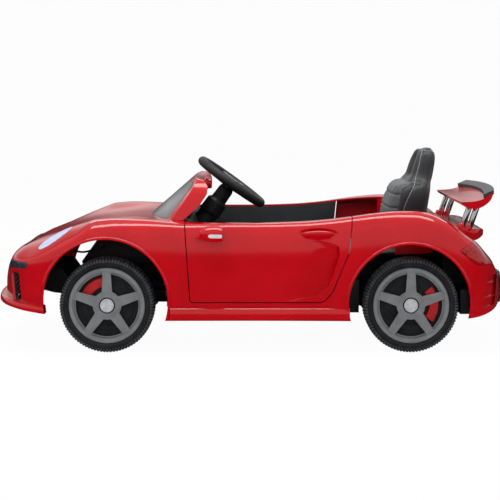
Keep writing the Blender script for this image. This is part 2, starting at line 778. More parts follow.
# %% Rails of the body form
joint_at = {j["child"]: [v / MM for v in j["pos_m"]] for j in frame["joints"] if "pos_m" in j}
front_axle_x = joint_at["wheel_front_left"][0]
rear_axle_x = joint_at["wheel_rear_left"][0]
wheel_radius = joint_at["wheel_rear_left"][2]
wheel_mid_y = joint_at["wheel_rear_right"][1]
car_length = (cad_box[1].x - cad_box[0].x) / MM
lip_reach = 24.0
stub_reach = 25.0
nose_x = -car_length / 2 + lip_reach
tail_x = car_length / 2 - stub_reach
wall = 3.5
belt_height = 271.5
front_half, door_half, rear_half = 286.0, 281.0, 290.0
end_round, nose_power, tail_power = 11.0, 3.4, 4.0
tail_round_x = rear_axle_x + 20
nose_rise = [(0, 150), (5, 164), (15, 185), (28, 204), (50, 218)]
crest_front = [(80, 229), (104, 239), (134, 254), (162, 267), (191, 275), (219, 279), (251, 281), (305, 279),
               (365, 274)]
crest_rear = [(-233, 274), (-173, 279), (-123, 286), (-73, 293), (-23, 297), (7, 297), (40, 291), (67, 280),
              (92, 266)]
centre_front = [(80, 231), (145, 252), (195, 263), (245, 269), (305, 274), (345, 276)]
centre_rear = [(-133, 280), (-3, 284), (67, 268), (97, 255)]
tail_fall = [(-65, 229), (-45, 208), (-26, 187), (-15, 168), (-7, 148), (0, 122)]
crest_tail = [(-92, 248)]
crest_side_front = [(0, 60), (50, 150), (110, 190)]
crest_side_tail = [(-140, 222), (-92, 196), (-60, 160), (0, 70)]


def rail(points):
    """Smooth curve through (x, value) points that never overshoots them."""
    xs, ys = [p[0] for p in points], [p[1] for p in points]
    step = np.diff(xs)
    slope = np.diff(ys) / step
    tangent = np.concatenate([slope[:1], np.zeros(len(xs) - 2), slope[-1:]])
    for i in range(1, len(xs) - 1):
        if slope[i - 1] * slope[i] > 0:
            a, b = 2 * step[i] + step[i - 1], step[i] + 2 * step[i - 1]
            tangent[i] = (a + b) / (a / slope[i - 1] + b / slope[i])

    def value(x):
        x = min(max(x, xs[0]), xs[-1])
        i = min(int(np.searchsorted(xs, x, side="right")) - 1, len(xs) - 2)
        t = (x - xs[i]) / step[i]
        start = ys[i] * (1 + 2 * t) * (1 - t) ** 2 + step[i] * tangent[i] * t * (1 - t) ** 2
        return start + ys[i + 1] * t * t * (3 - 2 * t) + step[i] * tangent[i + 1] * t * t * (t - 1)

    return value


def from_end(end, rows):
    """Rail points whose lengths are measured from an end or an axle."""
    return [(end + d, v) for d, v in rows]


mid_half = rail([(front_axle_x, front_half), (-140, door_half + 1), (0, door_half), (150, door_half + 3),
                 (rear_axle_x - 20, rear_half), (rear_axle_x + 60, rear_half)])
bottom = rail([(nose_x, 92), (front_axle_x - 125, 87), (front_axle_x + 125, 70), (rear_axle_x - 125, 70),
               (rear_axle_x + 125, 75), (tail_x - 30, 83), (tail_x, 93)])
crest = rail(from_end(nose_x, nose_rise + crest_front) + [(-145, belt_height), (0, belt_height)]
             + from_end(rear_axle_x, crest_rear) + from_end(tail_x, crest_tail + tail_fall))
centre = rail(from_end(nose_x, nose_rise + centre_front) + [(0, belt_height)]
              + from_end(rear_axle_x, centre_rear) + from_end(tail_x, tail_fall))
crest_y = rail(from_end(nose_x, crest_side_front) + [(front_axle_x, 212), (-140, 246), (0, 250), (150, 250),
               (rear_axle_x, 236)] + from_end(tail_x, crest_side_tail))


def half_width(x):
    """Half width of the body, rounded like a stretched ellipse at nose and tail."""
    w = mid_half(x)
    if x < front_axle_x:
        w *= math.sqrt(1 - ((front_axle_x - x) / (front_axle_x - nose_x + end_round)) ** nose_power)
    if x > tail_round_x:
        w *= math.sqrt(1 - ((x - tail_round_x) / (tail_x + end_round - tail_round_x)) ** tail_power)
    return w


print("the body is", round(2 * half_width(front_axle_x)), "mm wide at the front axle")

# %% Cross-sections
side_poles = [(-5, 0.0), (-1, 0.25), (1, 0.5), (0, 0.76)]
shoulder_inset, shoulder_share = 4, 0.06
knee_share, knee_inset, knee_lift = 0.62, 4.0, 1.5
crest_inset, crest_lift = 25, 2
roof_share, roof_blend, roof_lift, flat_share = 0.72, 0.7, 1, 0.4
lamp_slope = rail([(-520, 0), (-475, 1), (-388, 1), (-335, 0)])
lamp_falls = (20, 17, 4)
pole_count, round_count, half_count = 19, 145, 160


def half_poles(x):
    """Control points of half a cross-section, from the lower edge up and over to the centre line."""
    w, low, high, mid = half_width(x), bottom(x), crest(x), centre(x)
    rise = high - low
    top = min(crest_y(x), w - crest_inset)
    knee = top + knee_share * (w - top) - knee_inset
    side_fall, knee_fall, top_fall = (fall * lamp_slope(x) for fall in lamp_falls)
    side = [(w + out, low + share * rise) for out, share in side_poles]
    shoulder = [(w - shoulder_inset, high - shoulder_share * rise - side_fall),
                (knee, high + knee_lift - knee_fall), (top, high + crest_lift - top_fall)]
    roof = [(top * roof_share, high + (mid - high) * roof_blend + roof_lift),
            (top * flat_share, mid), (0, mid)]
    return side + shoulder + roof


def drawn_in(poles, depth):
    """Control points moved inwards, square to the line through their neighbours."""
    result = []
    last = len(poles) - 1
    for i, (y, z) in enumerate(poles):
        (y0, z0), (y1, z1) = poles[max(i - 1, 0)], poles[min(i + 1, last)]
        size = math.hypot(y1 - y0, z1 - z0)
        ny, nz = (z0 - z1) / size, (y1 - y0) / size
        if i == 0:
            ny, nz = -1.0, 0.0
        if i == last:
            ny, nz = 0.0, -1.0
        result.append((y + ny * depth, z + nz * depth))
    return result


def spline_weights(poles, samples):
    """Weights of a clamped cubic spline's control points at evenly spaced parameters."""
    knots = np.concatenate([np.zeros(3), np.linspace(0, 1, poles - 2), np.ones(3)])
    t = np.clip(samples, 0, 1 - 1e-9)
    table = np.array([(knots[i] <= t) & (t < knots[i + 1]) for i in range(len(knots) - 1)], float)
    for degree in (1, 2, 3):
        rows = []
        for i in range(len(knots) - 1 - degree):
            left, right = knots[i + degree] - knots[i], knots[i + degree + 1] - knots[i + 1]
            row = np.zeros_like(t)
            if left > 0:
                row += (t - knots[i]) / left * table[i]
            if right > 0:
                row += (knots[i + degree + 1] - t) / right * table[i + 1]
            rows.append(row)
        table = np.array(rows)
    return table.T


def section(x, weights, depth=0.0):
    """Points (y, z) of a cross-section at x, from left to right, drawn in by a depth."""
    half = drawn_in(half_poles(x), depth)
    poles = np.array([(-y, z) for y, z in half] + [(y, z) for y, z in reversed(half[:-1])])
    return weights @ poles


round_weights = spline_weights(pole_count, np.linspace(0, 1, round_count))
half_weights = spline_weights(pole_count, np.linspace(0.5, 1, half_count))


def side_at(x, z):
    """Distance from the middle to the body's side at a length and a height."""
    points = section(x, half_weights)[::-1]
    return float(np.interp(z, points[:, 1], points[:, 0]))


def top_at(x, y):
    """Height of the body's top at a length and a distance from the middle."""
    points = section(x, half_weights)
    high = int(np.argmax(points[:, 0]))
    return float(np.interp(abs(y), points[:high, 0], points[:high, 1]))


print("the side stands at", round(side_at(0, belt_height / 2)), "mm beside the seat")


# %% A block of skin with inner and outer faces
def skin_block(name, xs, near=0.0, far=wall):
    """Closed wall of the body between stations, from a near to a far depth."""
    verts = []
    for depth in (near, far):
        for x in xs:
            share = (x - nose_x) / (tail_x - nose_x)
            verts += [(x + depth * (1 - 2 * share), y, z) for y, z in section(x, round_weights, depth)]
    n, m = len(xs), len(round_weights)

    def spot(layer, i, j):
        return layer * n * m + i * m + j

    faces = []
    for i in range(n - 1):
        for j in range(m - 1):
            faces.append((spot(0, i, j), spot(0, i + 1, j), spot(0, i + 1, j + 1), spot(0, i, j + 1)))
            faces.append((spot(1, i, j), spot(1, i, j + 1), spot(1, i + 1, j + 1), spot(1, i + 1, j)))
        for j in (0, m - 1):
            faces.append((spot(0, i, j), spot(1, i, j), spot(1, i + 1, j), spot(0, i + 1, j)))
    for i in (0, n - 1):
        faces += [tuple(spot(layer, i, j) for j in range(m)) for layer in (0, 1)]
        faces.append((spot(0, i, 0), spot(0, i, m - 1), spot(1, i, m - 1), spot(1, i, 0)))
    return new_piece(name, verts, faces)


def spread(stops):
    """Stations between stops, each run at its own spacing."""
    xs = [stops[0][0]]
    for (start, _), (end, gap) in zip(stops, stops[1:]):
        count = max(1, round((end - start) / gap))
        xs += [start + (end - start) * k / count for k in range(1, count + 1)]
    return xs


body_stations = spread([(nose_x, 0), (nose_x + 12, 1.5), (nose_x + 60, 3), (nose_x + 140, 5),
                        (tail_x - 110, 7), (tail_x - 30, 4), (tail_x, 1.5)])
print("stations along the body", len(body_stations))

# %% Outlines of the openings
front_arch = (front_axle_x - 2, 110.0, 131.0)
rear_arch = (rear_axle_x - 5, 104.0, 127.0)
door_rear_x = 207.5
cockpit_side = [(-182, 150, 20), (-128, 238, 30), (door_rear_x + 4, 238, 40), (rear_axle_x - 30, 215, 60),
                (390, 190, 45)]
cockpit = cockpit_side + [(a, -b, r) for a, b, r in reversed(cockpit_side)]
door_outline = [(-146.5, 330, 0), (-131.5, 108, 8), (door_rear_x - 60, 108, 26), (door_rear_x - 40, 130, 30),
                (door_rear_x - 4.5, 217, 60), (door_rear_x + 4.5, 330, 0)]
strip_outline = [(112, 186, 3), (114, 166, 3), (240, 175, 3), (244, 189, 3)]
intake_outline = [(176, 163, 6), (218, 165, 6), (222, 106, 8), (184, 99, 8)]
mouth_outline = [(-118, 156, 8), (118, 156, 8), (104, 119, 12), (-104, 119, 12)]
vent_outline = [(-497, 150, 6), (-470, 138, 6), (-470, -138, 6), (-497, -150, 6)]
tail_lamp_outline = [(428, 219, 4), (464, 237, 8), (489, 221, 6), (516, 188, 5), (508, 181, 5),
                     (464, 188, 10)]
pocket_outline = [(497, 161, 4), (523, 160, 4), (517, 96, 5), (482, 93, 5)]
deck_outline = [(402, 150, 14), (484, 172, 22), (484, -172, 22), (402, -150, 14)]
side_reach = 400
cockpit_span, vent_span, deck_span = (60, 460), (150, 270), (180, 380)
mouth_span, strip_span = (nose_x - 5, nose_x + 55), (nose_x - 20, nose_x + 90)
intake_span = (nose_x - 5, nose_x + 90)
door_span, tail_lamp_span, pocket_span = (225, 340), (118, 338), (100, 320)
lamp_span, lamp_opening = (-30, 40), (44, 24)
lamp_middle = Vector((-418, 212, 238))
lamp_run = Vector((67, -34, 44)).normalized()
lamp_face = Vector((-0.42, 0.56, 0.72))
lamp_face = (lamp_face - lamp_run * lamp_face.dot(lamp_run)).normalized()
lamp_across = lamp_face.cross(lamp_run)


def lamp_spot(side):
    """Turns a point of the headlight's oval and a distance along its facing into a place."""
    def spot(a, b, d):
        p = lamp_middle + lamp_run * a + lamp_across * b + lamp_face * d
        return (p.x, side * p.y, p.z)

    return spot


def oval(half_long, half_wide, count=64):
    """Outline points of a headlight."""
    return [(half_long * math.cos(t), half_wide * math.sin(t)) for t in turns(count)]


def disc(arch, count=96):
    """Outline points of a wheel arch."""
    x, z, radius = arch
    return [(x + radius * math.cos(t), z + radius * math.sin(t)) for t in turns(count)]


def arch_block(arch):
    """Round block across the car, as wide as the wheel arches of one axle."""
    return prism(disc(arch), side_spot, -side_reach, side_reach)


def lamp_block(side, half_long, half_wide):
    """Oval block through a headlight, along its facing."""
    return prism(oval(half_long, half_wide), lamp_spot(side), *lamp_span)


def side_block(points, side, span):
    """Block on one side of the car, from an outline in the side view."""
    return prism(points, side_spot, side * span[0], side * span[1])


def door_block(side, inset, span=door_span):
    """Block of a door's outline, made smaller by an inset."""
    return side_block(rounded(grown(door_outline, -inset)), side, span)


def cockpit_block():
    """Block of the cockpit's outline, seen from above."""
    return prism(rounded(cockpit), top_spot, *cockpit_span)


print("arches have radii of", front_arch[2], "and", rear_arch[2], "mm")

# %% The body's skin with its openings
body = skin_block("body_moulding", body_stations)
openings = [arch_block(front_arch), arch_block(rear_arch), cockpit_block(),
            prism(rounded(mouth_outline), nose_spot(1), *mouth_span),
            prism(rounded(vent_outline), top_spot, *vent_span),
            prism(rounded(deck_outline), top_spot, *deck_span)]
for side, _ in sides:
    openings += [door_block(side, 0), lamp_block(side, *lamp_opening),
                 prism(rounded(strip_outline), nose_spot(side), *strip_span),
                 prism(rounded(intake_outline), nose_spot(side), *intake_span),
                 side_block(rounded(tail_lamp_outline), side, tail_lamp_span),
                 side_block(rounded(pocket_outline), side, pocket_span)]
carve(body, openings)
print("body faces", len(body.data.polygons))

# %% Lips, sills and rims of the body
arch_turn, above_edge = range(-36, 217, 2), 0.5
arch_profile = [(0, -3.4), (0, 0.6), (0.5, 1.7), (1.6, 2.4), (3.2, 2.5), (4.8, 2.3), (5.9, 1.5), (6.5, 0.2),
                (6.5, -3.4)]
lip_plan = [(0, 0), (4, 80), (17, 150), (41, 203), (76, 246), (114, 270), (130, 276)]
lip_profile = [(34, 0), (6, 0), (2.2, 1.2), (0.4, 3.6), (0, 6.5), (0.3, 10), (1.6, 13), (4, 14.6), (7, 15),
               (34, 15)]
lip_low, lip_tilt, lip_steps = 83.0, math.radians(4.4), 10
sill_profile = [(266, 71), (281, 71), (284, 72), (286, 75), (286.5, 78), (286.5, 87), (286, 89.5),
                (281, 96.6), (279.5, 97.5), (266, 99)]
sill_stations = spread([(-172, 0), (203, 25)])
rim_wall, rim_steps, rim_foot, rim_inset = 3, 10, 203, 1.5
rim_start_x = door_rear_x + 9


def strip_solid(name, rows):
    """Closed solid from rows of points: each row is one cross-section ring."""
    n, m = len(rows), len(rows[0])
    faces = [(i * m + j, i * m + (j + 1) % m, (i + 1) * m + (j + 1) % m, (i + 1) * m + j)
             for i in range(n - 1) for j in range(m)]
    faces += [tuple(range(m)), tuple((n - 1) * m + j for j in range(m))]
    return new_piece(name, [p for row in rows for p in row], faces)


def arch_lip(arch, side):
    """Rolled lip round a wheel arch; it follows the skin."""
    x, z, radius = arch
    rows = []
    for k in arch_turn:
        c, s = math.cos(math.radians(k)), math.sin(math.radians(k))
        if z + radius * s < bottom(x + radius * c) + above_edge:
            continue
        row = []
        for out, proud in arch_profile:
            px, pz = x + (radius + out) * c, z + (radius + out) * s
            row.append((px, side * (side_at(px, max(pz, bottom(px))) + proud), pz))
        rows.append(row)
    return strip_solid("arch_lip", rows)


def smooth_line(points, count):
    """Points along a curve through the given ones, spread evenly by parameter."""
    points = [Vector(p) for p in points]
    ends = [points[0] * 2 - points[1]] + points + [points[-1] * 2 - points[-2]]
    line = []
    for i in range(1, len(ends) - 2):
        a, b, c, d = ends[i - 1:i + 3]
        for k in range(count):
            t = k / count
            line.append(0.5 * (2 * b + (c - a) * t + (2 * a - 5 * b + 4 * c - d) * t * t
                               + (3 * b - a - 3 * c + d) * t ** 3))
    return line + [points[-1]]


def front_lip():
    """Splitter below the nose: a rounded blade that runs round into the bumper sides."""
    start = -car_length / 2
    half = [(start + d, y, 0) for d, y in lip_plan]
    line = smooth_line([(x, -y, 0) for x, y, _ in reversed(half[1:])] + half, lip_steps)
    pivot = start + lip_plan[-1][0]
    rows = []
    for i, p in enumerate(line):
        ahead = (line[min(i + 1, len(line) - 1)] - line[max(i - 1, 0)]).normalized()
        inward = Vector((ahead.y, -ahead.x, 0))
        row = []
        for d, dz in lip_profile:
            q = p + inward * d
            dx = q.x - pivot
            row.append((pivot + dx * math.cos(lip_tilt) + dz * math.sin(lip_tilt), q.y,
                        lip_low + dz * math.cos(lip_tilt) - dx * math.sin(lip_tilt)))
        rows.append(row)
    return strip_solid("front_lip", rows)


def sill(side):
    """Straight sill between the wheel arches."""
    return strip_solid("sill", [[(x, side * y, z) for y, z in sill_profile] for x in sill_stations])


def cockpit_wall():
    """Wall that hangs from the rim of the cockpit behind the doors."""
    inner, outer = rounded(cockpit, rim_steps), rounded(grown(cockpit, rim_wall), rim_steps)
    rows = []
    for (xi, yi), (xo, yo) in zip(inner, outer):
        if xi >= rim_start_x:
            rows.append([(xi, yi, rim_foot), (xi, yi, top_at(xi, yi) - rim_inset),
                         (xo, yo, top_at(xo, yo) - rim_inset), (xo, yo, rim_foot)])
    return strip_solid("cockpit_wall", rows)


# A pocket's floor and two ribs, each with its near and far depth below the skin and its outline.
pocket_layers = [(4, 6, rounded(grown(pocket_outline, 2))),
                 (1, 5, [(480, 112), (524, 114), (524, 117), (480, 115)]),
                 (2, 5, [(484, 143), (524, 144), (524, 146), (484, 145)])]
pocket_stations = spread([(tail_x - 75, 0), (tail_x - 2, 4)])
extras = [carve(front_lip(), [arch_block(front_arch)]), cockpit_wall()]
for side, _ in sides:
    extras += [arch_lip(front_arch, side), arch_lip(rear_arch, side), sill(side)]
    for near, far, points in pocket_layers:
        layer = skin_block("pocket", pocket_stations, near, far)
        extras.append(carve(layer, [side_block(points, side, pocket_span)], "INTERSECT"))
joined(body, *extras)
shade(body.data)
place(body, "body", "red", "red_plastic", ["body_shell"])
print("body with lips", len(body.data.polygons))

# %% [markdown]
# ## Doors
#
# Each door is a fine grid on the body's form. A scoop could be carved out with another shape, but then its
# floor would meet the skin at an edge all round. Instead the scoop is pressed into the grid: its floor falls
# away slowly towards the rear and ends at a crisp lip, so one column of the grid is made to run exactly along
# that lip. A shallow dish holds the handle. The outline is then cut with the opening's own outline, a seam
# smaller.

# %% Door panel with scoop and handle dish
seam = 2.0
lip_line = rail([(108, 70), (116, 96), (122, 128), (132, 149), (160, 163), (190, 174), (210, 180), (222, 180),
                 (230, 172), (236, 152), (242, 140)])
scoop_depth = rail([(108, 0), (114, 0.6), (122, 5), (140, 11), (180, 13), (212, 12), (226, 8), (234, 2),
                    (240, 0)])
scoop_width = rail([(108, 60), (130, 74), (160, 72), (190, 60), (240, 44)])
scoop_power = 1.6
dish_middle, dish_half, dish_deep = (136, 252.5), (44, 12.5), 6.0
door_grid_x = np.linspace(-160, 225, 78)
door_weights = spline_weights(pole_count, np.linspace(0.67, 1.0, 130))
lip_probe_x, lip_crisp = 100, 0.4
columns_before, columns_after = 130, 34
door_cut_span = (200, 360)
grip_start, grip_long, grip_half_high, grip_half_deep = 99, 74, 6.4, 4.0
grip_sunk, grip_bow, grip_arch, grip_curl = 3.5, 8.0, 1.5, 2.4
grip_tip, swell_power, bow_power = 0.02, 0.7, 0.6
grip_stations, grip_points = 25, 16


def pressed_in(x, z):
    """How far the door's face is pressed in at a place on it."""
    reach = (lip_line(z) - x) / scoop_width(z)
    scoop = scoop_depth(z) * (1 - reach) ** scoop_power if 0 <= reach <= 1 else 0.0
    off = ((x - dish_middle[0]) / dish_half[0]) ** 2 + ((z - dish_middle[1]) / dish_half[1]) ** 2
    return scoop + dish_deep * max(0.0, 1 - off)


def door_panel(side, word):
    """Skin of a door between its seams, with the scoop and the dish pressed in."""
    layers = [np.array([section(x, door_weights, depth) for x in door_grid_x]) for depth in (0.0, wall)]
    rows = []
    for j in range(len(door_weights)):
        lip = lip_line(float(np.interp(lip_probe_x, door_grid_x, layers[0][:, j, 1])))
        xs = np.concatenate([np.linspace(door_grid_x[0], lip - lip_crisp, columns_before),
                             np.linspace(lip + lip_crisp, door_grid_x[-1], columns_after)])
        for layer in layers:
            ys, zs = (np.interp(xs, door_grid_x, layer[:, j, k]) for k in (0, 1))
            rows.append([(x, side * (y - pressed_in(x, z)), z) for x, y, z in zip(xs, ys, zs)])
    n, m = len(door_weights), columns_before + columns_after
    faces = []
    for j in range(n - 1):
        for i in range(m - 1):
            a = 2 * j * m + i
            faces.append((a, a + 1, a + 2 * m + 1, a + 2 * m))
            faces.append((a + m, a + 3 * m, a + 3 * m + 1, a + m + 1))
        for i in (0, m - 1):
            a = 2 * j * m + i
            faces.append((a, a + 2 * m, a + 3 * m, a + m))
    for j in (0, n - 1):
        a = 2 * j * m
        faces += [(a + i, a + i + 1, a + m + i + 1, a + m + i) for i in range(m - 1)]
    panel = new_piece("door_" + word + "_moulding", [p for r in rows for p in r], faces)
    carve(panel, [door_block(side, seam, door_cut_span)], "INTERSECT")
    return carve(panel, [cockpit_block()])


def door_grip(side):
    """Pull bar across the dish: a spindle that bows outwards."""
    rows = []
    for k in range(grip_stations):
        t = k / (grip_stations - 1)
        x = grip_start + grip_long * t
        swell = math.sin(math.pi * min(max(t, grip_tip), 1 - grip_tip)) ** swell_power
        mid = dish_middle[1] + grip_arch * math.sin(grip_curl * t)
        out = side_at(x, mid) - grip_sunk + grip_bow * math.sin(math.pi * t) ** bow_power
        rows.append([(x, side * (out + grip_half_deep * swell * math.cos(a)),
                      mid + grip_half_high * swell * math.sin(a)) for a in turns(grip_points)])
    return strip_solid("grip", rows)


for side, word in sides:
    door = joined(door_panel(side, word), door_grip(side))
    shade(door.data)
    place(door, "door_" + word, "red", "red_plastic", ["door_" + word])
    print(door.name, len(door.data.polygons))

# %% [markdown]
# ## Wheels
#
# A hollow plastic wheel is blown in one mould, so tyre and rim are one black piece: a turned profile with
# small tread blocks that run over both shoulders. Cutting the gaps out of a smooth tyre would take hundreds
# of cuts, so one block is repeated round the axle instead. A grey five-spoke cover is clipped into the wheel,
# with a stepped ring inside its windows, a ring of small dots round the hub and a plain bright cap.

# %% Turned shapes
def turned(name, rows, count=144):
    """Closed ring round the Y axis from a profile of (along, radius) points."""
    points = [(r * math.sin(t), y, r * math.cos(t)) for t in turns(count) for y, r in rows]
    m = len(rows)
    faces = [(k * m + i, k * m + (i + 1) % m, (k + 1) % count * m + (i + 1) % m, (k + 1) % count * m + i)
             for k in range(count) for i in range(m)]
    return new_piece(name, points, faces)


def settled(piece, side, x):
    """Moves a piece made round the Y axis to its wheel; the left side is a mirror image."""
    middle = Vector((x, side * wheel_mid_y, wheel_radius)) * MM
    piece.data.transform(Matrix.Translation(middle) @ Matrix.Diagonal((1, side, 1, 1)))
    if side < 0:
        piece.data.flip_normals()
    return piece


wheel_half, front_boss, rear_boss = 30.0, 6.0, 18.0
shoulder_count, shoulder_half, centre_half = 92, 2.15, 4.6
block_foot, block_taper, block_edge = 96, 0.02, 0.5
block_profile = [(13, 96.5), (13.4, 99.5), (14, 100), (22, 100), (25.5, 99.2), (28.2, 96.8), (29.6, 93.6),
                 (29.9, 91.6), (28, 91.4), (24, 94)]
inner_profile = [(-a, b) for a, b in block_profile]
centre_profile = [(-9, 98), (-8, 99.8), (8, 99.8), (9, 98)]
window_step = [(18.6, 66), (20.4, 66), (21, 66.5), (21, 68.3), (20.3, 68.8), (20.3, 70.8), (18.6, 70.8)]
hub_rim = [(23, 25.4), (24.5, 25.7), (24.7, 26.3), (24.5, 26.9), (23, 27.2)]
cap_seat = [(23.4, 14.3), (24.5, 14.6), (24.7, 15.6), (24.4, 16.8), (23.4, 17.2)]
dot_profile = [(-0.6, 1.1), (0.35, 1.0), (0.6, 0.5)]
dot_count, dot_ring, dot_level, dot_points = 24, 21.5, 24.0, 8
cap_points = 64
print("a wheel is", 2 * wheel_half, "mm wide and", round(2 * wheel_radius), "mm across")


# %% Black wheels and their covers
def tyre_rows(boss):
    """Profile of the black wheel, from its inner shoulder over the tread to the web and along the hub."""
    return [(-26, 80), (-29, 83), (-30, 87), (-29.8, 90), (-28.8, 94.2), (-26.6, 97), (-22, 98.5), (0, 98.8),
            (21, 98.5), (25.6, 97), (28.4, 94), (29.2, 91.2), (29.9, 90.4), (30, 89.6), (29.4, 89),
            (29.6, 86), (29, 83), (27.6, 81.2), (25, 80.7), (21, 80.6), (21, 70.5), (12, 66.5), (12, 58),
            (11.2, 57), (11.2, 55), (12, 54), (12, 44), (11.2, 43), (11.2, 41), (12, 40), (12, 30), (15, 27),
            (15, 12.2), (12, 12.2), (12, 6.1), (-wheel_half - boss, 6.1), (-wheel_half - boss, 15),
            (-wheel_half - 4, 15), (-24, 18), (7, 30), (7, 62.5), (-26, 64.5)]


def tread_block(profile, half_long):
    """One block of the tread: a profile across the tyre, a little narrower at its top."""
    def spot(a, b, d):
        return (d * (1 - (b - block_foot) * block_taper), a, b)

    return with_bevel(prism(profile, spot, -half_long, half_long), block_edge, segments=1)


def wheel(corner, side, x, boss):
    """Black wheel with three rings of tread blocks."""
    tyre = turned("wheel_" + corner + "_tyre", tyre_rows(boss))
    smooth_faces = len(tyre.data.polygons)
    rings = [(block_profile, shoulder_half, shoulder_count, 0.0),
             (inner_profile, shoulder_half, shoulder_count, 0.5),
             (centre_profile, centre_half, shoulder_count // 2, 0.25)]
    for profile, half_long, count, shift in rings:
        block = tread_block(profile, half_long)
        joined(tyre, repeated("blocks", around, block, "tyre", Count=count, Shift=shift))
    shade(tyre.data)
    two_paints(tyre, "tyre", "tread", lambda face: face.index >= smooth_faces)
    node = "wheel_" + corner
    place(settled(tyre, side, x), node, None, slot_of_node(node), [node])


def cover(corner, side, x):
    """Extra rings on the wheel cover: a step inside the windows, a hub rim, a dark gap ring and dots."""
    dot = strip_solid("dot", [[(r * math.cos(a), h, r * math.sin(a)) for a in turns(dot_points)]
                              for h, r in dot_profile])
    dots = repeated("dots", around, dot, "grey", Count=dot_count, Radius=dot_ring * MM, Along=dot_level * MM)
    rings = joined(turned("cover_" + corner + "_rings", window_step), turned("rim", hub_rim), dots)
    gap = turned("cap_" + corner + "_seat", cap_seat, cap_points)
    for piece, paint, slot in ((rings, "grey", "grey_plastic"), (gap, "gloss_black", "black_plastic")):
        shade(piece.data)
        place(settled(piece, side, x), "wheel_" + corner, paint, slot)


for end, x, boss in (("front", front_axle_x, front_boss), ("rear", rear_axle_x, rear_boss)):
    for word, side in (("left", -1), ("right", 1)):
        wheel(end + "_" + word, side, x, boss)
        cover(end + "_" + word, side, x)
print("wheels with", shoulder_count, "shoulder blocks")

# %% [markdown]
# ## Seat
#
# The seat back is foam under a sewn cover. Sculpting could give its form, but hardly the even tension of a
# filled cover. Here the solid is drawn in a little and blown up by a cloth simulation, which gives that
# tension. The front panel is grey, with sewn channels that pull it in, and its sides are black. A pale seam
# of thick thread runs down each side.

# %% Inflated pads
def skin_tree(piece):
    """Search tree of a piece's faces, to find where straight lines meet them."""
    mesh = piece.data
    return BVHTree.FromPolygons([v.co for v in mesh.vertices], [p.vertices for p in mesh.polygons])


def per_point(piece, what):
    """Places or normals of a piece's points, as rows of an array."""
    values = np.empty(len(piece.data.vertices) * 3)
    piece.data.vertices.foreach_get(what, values)
    return values.reshape(-1, 3)


def move_points(piece, rows):
    """Moves a piece's points to new places."""
    piece.data.vertices.foreach_set("co", rows.ravel())
    piece.data.update()


def inflated(name, node, drawn, most, shape=None, voxel=4.5, pressure=4.0, last_frame=20):
    """Soft pad from a solid: a smaller skin swells by simulated pressure until it fills the solid's room."""
    pad = welded_copy(node, name)
    even = pad.modifiers.new("even", "REMESH")
    even.mode = "VOXEL"
    even.voxel_size = voxel * MM
    plain(pad)
    rest = per_point(pad, "co") - per_point(pad, "normal") * drawn * MM
    if shape:
        rest = shape(rest / MM, skin_tree(pad)) * MM
    move_points(pad, rest)
    cloth = pad.modifiers.new("fill", "CLOTH")
    cloth.settings.use_pressure = True
    cloth.settings.uniform_pressure_force = pressure
    cloth.settings.effector_weights.gravity = 0.0
    for number in range(1, last_frame + 1):
        scene.frame_set(number)
    plain(pad)
    scene.frame_set(1)
    move = per_point(pad, "co") - rest
    travel = np.linalg.norm(move, axis=1, keepdims=True)
    move_points(pad, rest + move * np.minimum(1.0, most * MM / np.maximum(travel, 1e-9)))
    finer = pad.modifiers.new("finer", "SUBSURF")
    finer.levels = finer.render_levels = 1
    plain(pad)
    top = max(v.co.z for v in pad.data.vertices)
    low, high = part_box(node)
    for v in pad.data.vertices:
        v.co.z = low.z + (v.co.z - low.z) * (high.z - low.z) / (top - low.z)
    return pad


def pulled_in(pad, depth_at):
    """Presses seams and channels into a pad, each point along its normal."""
    spots, normals = per_point(pad, "co"), per_point(pad, "normal")
    move_points(pad, spots - normals * depth_at(spots / MM, normals)[:, None] * MM)


def groove(distance, width):
    """Share of a groove's depth at a distance from its middle."""
    return np.exp(-(distance / width) ** 2)


def fading(value, start, run):
    """Share from 0 to 1 that grows from a start over a run."""
    return np.clip((value - start) / run, 0, 1)


print("pad tools ready")


# %% Seat back with channels and seams
seam_x = rail([(150, 322), (270, 327), (293.8, 332.8), (311.4, 339.3), (324.5, 345.9), (339.9, 354.6),
               (352.9, 360.1), (361.7, 362.2), (379.2, 367.7), (405.3, 374.2), (416.2, 377.5), (422, 377)])
front_x = rail([(150, 345), (196, 342), (212, 318), (250, 296), (285, 298), (312, 307), (325, 312),
                (338, 321), (346, 333), (364, 346), (422, 375)])
panel_x = rail([(150, 318), (289, 319.9), (300, 322), (320, 324.3), (331, 328.6), (340, 339.5), (349, 357)])
channel_levels = [206, 235, 264, 293, 322]
channel_half, crease_level = 70.0, 349.0
seat_half, bolster_rise, head_inset = 105, 9, 11
panel_foot, panel_run, head_foot, head_run, fade_depth = 196, 20, 336, 18, 60
channel_depth, channel_wide, upright_share, upright_wide = 2.2, 2.2, 0.7, 2.4
crease_depth, crease_wide, crease_tilt, crease_back = 3.0, 4.0, 0.12, 14
seam_depth, seam_wide, side_tilt, tilt_run = 1.4, 3.0, 0.1, 0.5
panel_fade, panel_gap, faces_front, faces_back = 3, 4, -0.6, 0.5
before_seat, beside_seat, probe_share = 100, 300, 0.97
seam_foot, seam_top, seam_points = 262, 416, 60
stitch_profile, stitch_flat = [(-1.9, 0.3), (-1.4, 0.75), (1.4, 0.75), (1.9, 0.3)], 0.7
stitch_lift, stitch_spacing, stitch_points = 0.25, 4.6, 6
soft_limit = math.radians(60)


